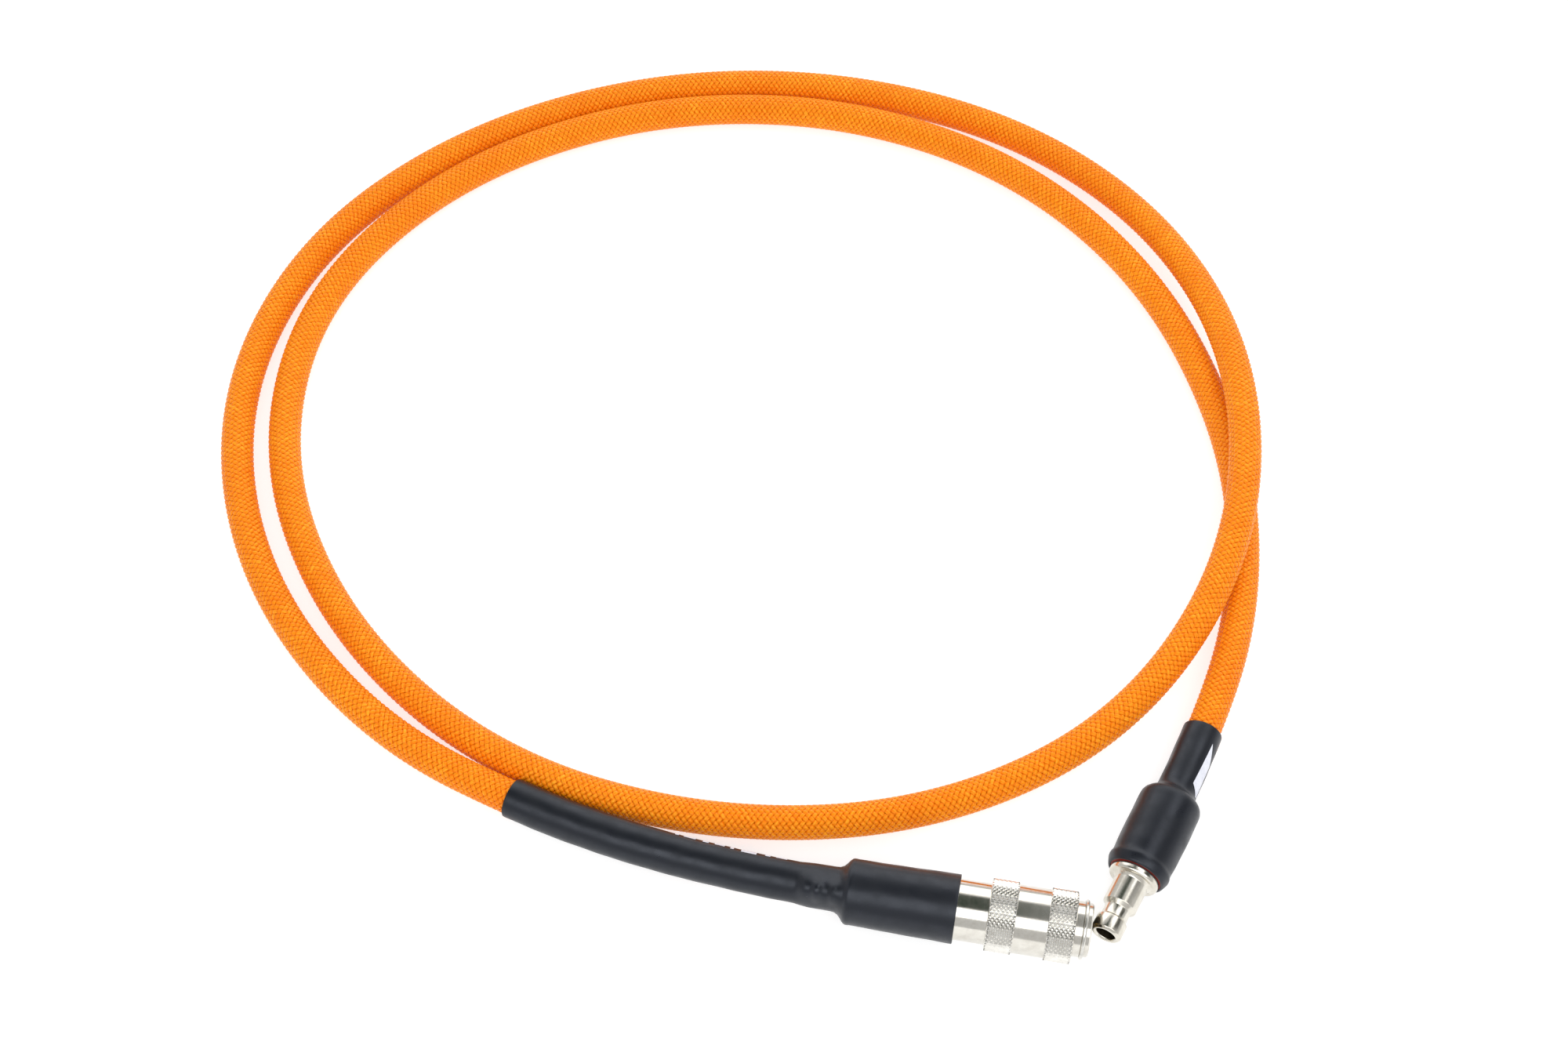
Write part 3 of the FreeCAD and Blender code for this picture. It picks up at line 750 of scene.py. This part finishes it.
def knurlBand(sizes, start, end):
    # rows of small pyramids round the sleeve, on a closed ring
    around = sizes["diamondsAround"]
    rows = sizes["diamondRows"]
    bm = bmesh.new()
    bmesh.ops.create_grid(bm, x_segments=rows, y_segments=around, size=0.5)
    for vertex in bm.verts:
        at = start + (vertex.co.x + 0.5) * (end - start)
        angle = (vertex.co.y + 0.5) * 2 * math.pi
        radius = sizes["bandRadius"]
        vertex.co = Vector((at, radius * math.cos(angle), radius * math.sin(angle))) * mm
    bmesh.ops.remove_doubles(bm, verts=bm.verts, dist=0.00001)
    squares = [edge for edge in bm.edges if not edge.is_boundary]
    bmesh.ops.poke(bm, faces=bm.faces)
    bmesh.ops.dissolve_edges(bm, edges=squares, use_verts=False)
    bmesh.ops.recalc_face_normals(bm, faces=bm.faces)
    bmesh.ops.inset_individual(
        bm, faces=bm.faces, thickness=sizes["diamondInset"] * mm, depth=sizes["diamondHeight"] * mm,
        use_even_offset=True,
    )
    rims = [edge for edge in bm.edges if edge.is_boundary]
    grown = bmesh.ops.extrude_edge_only(bm, edges=rims)["geom"]
    middle = (start + end) / 2
    for vertex in grown:
        if isinstance(vertex, bmesh.types.BMVert):
            outward = 1.0 if vertex.co.x > middle * mm else -1.0
            shrink = sizes["rimRadius"] / sizes["bandRadius"]
            vertex.co.x += outward * sizes["rimLength"] * mm
            vertex.co.y *= shrink
            vertex.co.z *= shrink
    bmesh.ops.bridge_loops(bm, edges=[edge for edge in bm.edges if edge.is_boundary])
    bmesh.ops.recalc_face_normals(bm, faces=bm.faces)
    return bm


def buildSleeve():
    core = turnedPiece(releaseSleeve)
    core.transform(socketPlace)
    piece = addPiece("sleeveCore", core, "sleeve", materials["nickel"], 30)
    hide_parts("release_sleeve")
    for index, (start, end) in enumerate(releaseSleeve["bands"]):
        band = knurlBand(releaseSleeve, start, end)
        band.transform(socketPlace)
        addPiece("knurlBand" + str(index + 1), band, "sleeve", materials["knurl"], 12)


def buildPlugNipple():
    nipple = turnedPiece(plugNipple)
    # faces deep inside the hole take the second material, the painted shade
    for face in nipple.faces:
        middle = face.calc_center_median()
        inside = math.hypot(middle.y, middle.z) < plugNipple["boreRadius"] * mm
        if inside and middle.x > plugNipple["boreFrom"] * mm:
            face.material_index = 1
    nipple.transform(plugPlace)
    piece = addPiece("plugNipple", nipple, "hose_assembly", materials["plugNickel"], 30)
    piece.data.materials.append(materials["boreShade"])
    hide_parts("plug_nipple")


buildSleeve()
buildPlugNipple()
print("turned pieces made")

# coils of spun wire; start and end are behind the socket's mouth
springs = {
    "stepsPerTurn": 40,
    "wireSides": 12,
    "coils": [
        {
            "name": "sleeveSpring", "node": "sleeve_spring", "body": "sleeve_carrier",
            "start": 11.6, "end": 21.5, "radius": 6.275, "wire": 0.8, "turns": 6,
            "joint": "sleeve_slide", "travel": 1.8,
        },
        {
            "name": "valveSpring", "node": "valve_spring", "body": "hose_assembly",
            "start": 18.85, "end": 29.5, "radius": 3.4, "wire": 0.6, "turns": 5,
            "joint": "valve_slide", "travel": 2.4,
        },
    ],
}


def buildSpring(coil):
    wire = coil["wire"]
    bm = bmesh.new()
    first = Matrix.Translation(((coil["start"] + wire / 2) * mm, 0.0, -coil["radius"] * mm))
    bmesh.ops.create_circle(
        bm, segments=springs["wireSides"], radius=wire / 2 * mm,
        matrix=first @ Matrix.Rotation(math.pi / 2, 4, "X"),
    )
    steps = springs["stepsPerTurn"] * coil["turns"]
    climb = (coil["end"] - coil["start"] - wire) / steps
    bmesh.ops.spin(
        bm, geom=list(bm.verts) + list(bm.edges), cent=(0.0, 0.0, 0.0), axis=(1.0, 0.0, 0.0),
        dvec=(climb * mm, 0.0, 0.0), angle=2 * math.pi * coil["turns"], steps=steps,
    )
    closeEnds(bm)
    bm.transform(socketPlace)
    piece = addPiece(coil["name"], bm, coil["body"], materials["springSteel"], 40)
    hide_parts(coil["node"])
    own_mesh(piece)


for coil in springs["coils"]:
    buildSpring(coil)
print("springs wound")

# the pieces that keep their own shape
keptPieces = {
    "coupling_body": "nickel", "retaining_ring": "ringSteel",
    "lock_ball_1": "ballSteel", "lock_ball_2": "ballSteel", "lock_ball_3": "ballSteel",
    "lock_ball_4": "ballSteel", "plug_seal": "rubber", "valve_poppet": "brass",
    "valve_seal": "rubber", "tail_gasket": "rubber",
    "tail_adapter": "nickel", "ear_clamp": "springSteel", "plug_washer": "redWasher",
    "plug_ferrule": "brass",
}
for node, finish in keptPieces.items():
    kept = bpy.data.objects[node]
    if not kept.material_slots:
        kept.data.materials.append(None)
    for holder in kept.material_slots:
        holder.material = materials[finish]
print("kept pieces finished")

studio = {
    "floorSize": 3.0,
    "floorColour": 0.5,
    "floorGlow": 0.66,
    "world": 0.66,
    "lights": [
        # name, place, size, power, colour
        ("front", (-0.02, -0.51, 0.75), (1.4, 0.52), 5.2, (1.0, 1.0, 1.0)),
        ("back", (-0.05, 0.95, 0.55), (2.0, 0.75), 6.5, (1.0, 0.99, 0.97)),
        ("right", (0.45, 0.36, 0.85), (0.55, 0.5), 1.3, (1.0, 1.0, 1.0)),
    ],
    "cards": [
        # name, corners, colour
        ("topCard", [(-0.75, -0.21, 0.8), (0.025, -0.21, 0.8), (0.025, 0.36, 0.8), (-0.75, 0.36, 0.8)],
         (0.03, 0.045, 0.03)),
        ("farCard", [(-0.13, 0.36, 0.8), (0.025, 0.36, 0.8), (0.025, 0.57, 0.8), (-0.13, 0.57, 0.8)],
         (0.03, 0.045, 0.03)),
        ("rightCard", [(0.85, 0.0, 0.33), (0.8, 0.45, 0.33), (0.6, 0.45, 0.85), (0.6, 0.0, 0.85)],
         (0.06, 0.06, 0.05)),
    ],
}


def buildStage():
    # a pale floor, and dark cards that only reflections see
    bm = bmesh.new()
    bmesh.ops.create_grid(bm, x_segments=1, y_segments=1, size=studio["floorSize"])
    mesh = bpy.data.meshes.new("floor")
    bm.to_mesh(mesh)
    bm.free()
    floor = bpy.data.objects.new("floor", mesh)
    scene.collection.objects.link(floor)
    material, tree, shader = newMaterial("floor", 0.9)
    shader.inputs["Base Color"].default_value = (*[studio["floorColour"]] * 3, 1.0)
    shader.inputs["Specular IOR Level"].default_value = 0.0
    shader.inputs["Emission Color"].default_value = (1.0, 1.0, 1.0, 1.0)
    shader.inputs["Emission Strength"].default_value = studio["floorGlow"]
    mesh.materials.append(material)
    for name, corners, shade in studio["cards"]:
        bm = bmesh.new()
        bm.faces.new([bm.verts.new(corner) for corner in corners])
        mesh = bpy.data.meshes.new(name)
        bm.to_mesh(mesh)
        bm.free()
        card = bpy.data.objects.new(name, mesh)
        scene.collection.objects.link(card)
        material, tree, shader = newMaterial(name, 1.0)
        shader.inputs["Base Color"].default_value = (0.0, 0.0, 0.0, 1.0)
        shader.inputs["Specular IOR Level"].default_value = 0.0
        shader.inputs["Emission Color"].default_value = (*shade, 1.0)
        shader.inputs["Emission Strength"].default_value = 1.0
        mesh.materials.append(material)
        card.visible_camera = False
        card.visible_diffuse = False
        card.visible_shadow = False


def addLights():
    aim = Vector((-0.05, 0.06, 0.0))
    for name, place, size, power, tint in studio["lights"]:
        data = bpy.data.lights.new(name, "AREA")
        data.shape = "RECTANGLE"
        data.size, data.size_y = size
        data.energy = power
        data.color = tint
        light = bpy.data.objects.new(name, data)
        light.location = place
        light.rotation_euler = (aim - Vector(place)).to_track_quat("-Z", "Y").to_euler()
        scene.collection.objects.link(light)
    world = bpy.data.worlds.new("studio")
    world.use_nodes = True
    background = world.node_tree.nodes["Background"]
    background.inputs["Color"].default_value = (1.0, 1.0, 1.0, 1.0)
    background.inputs["Strength"].default_value = studio["world"]
    scene.world = world
    scene.view_settings.view_transform = "Standard"


buildStage()
addLights()
print("studio made")
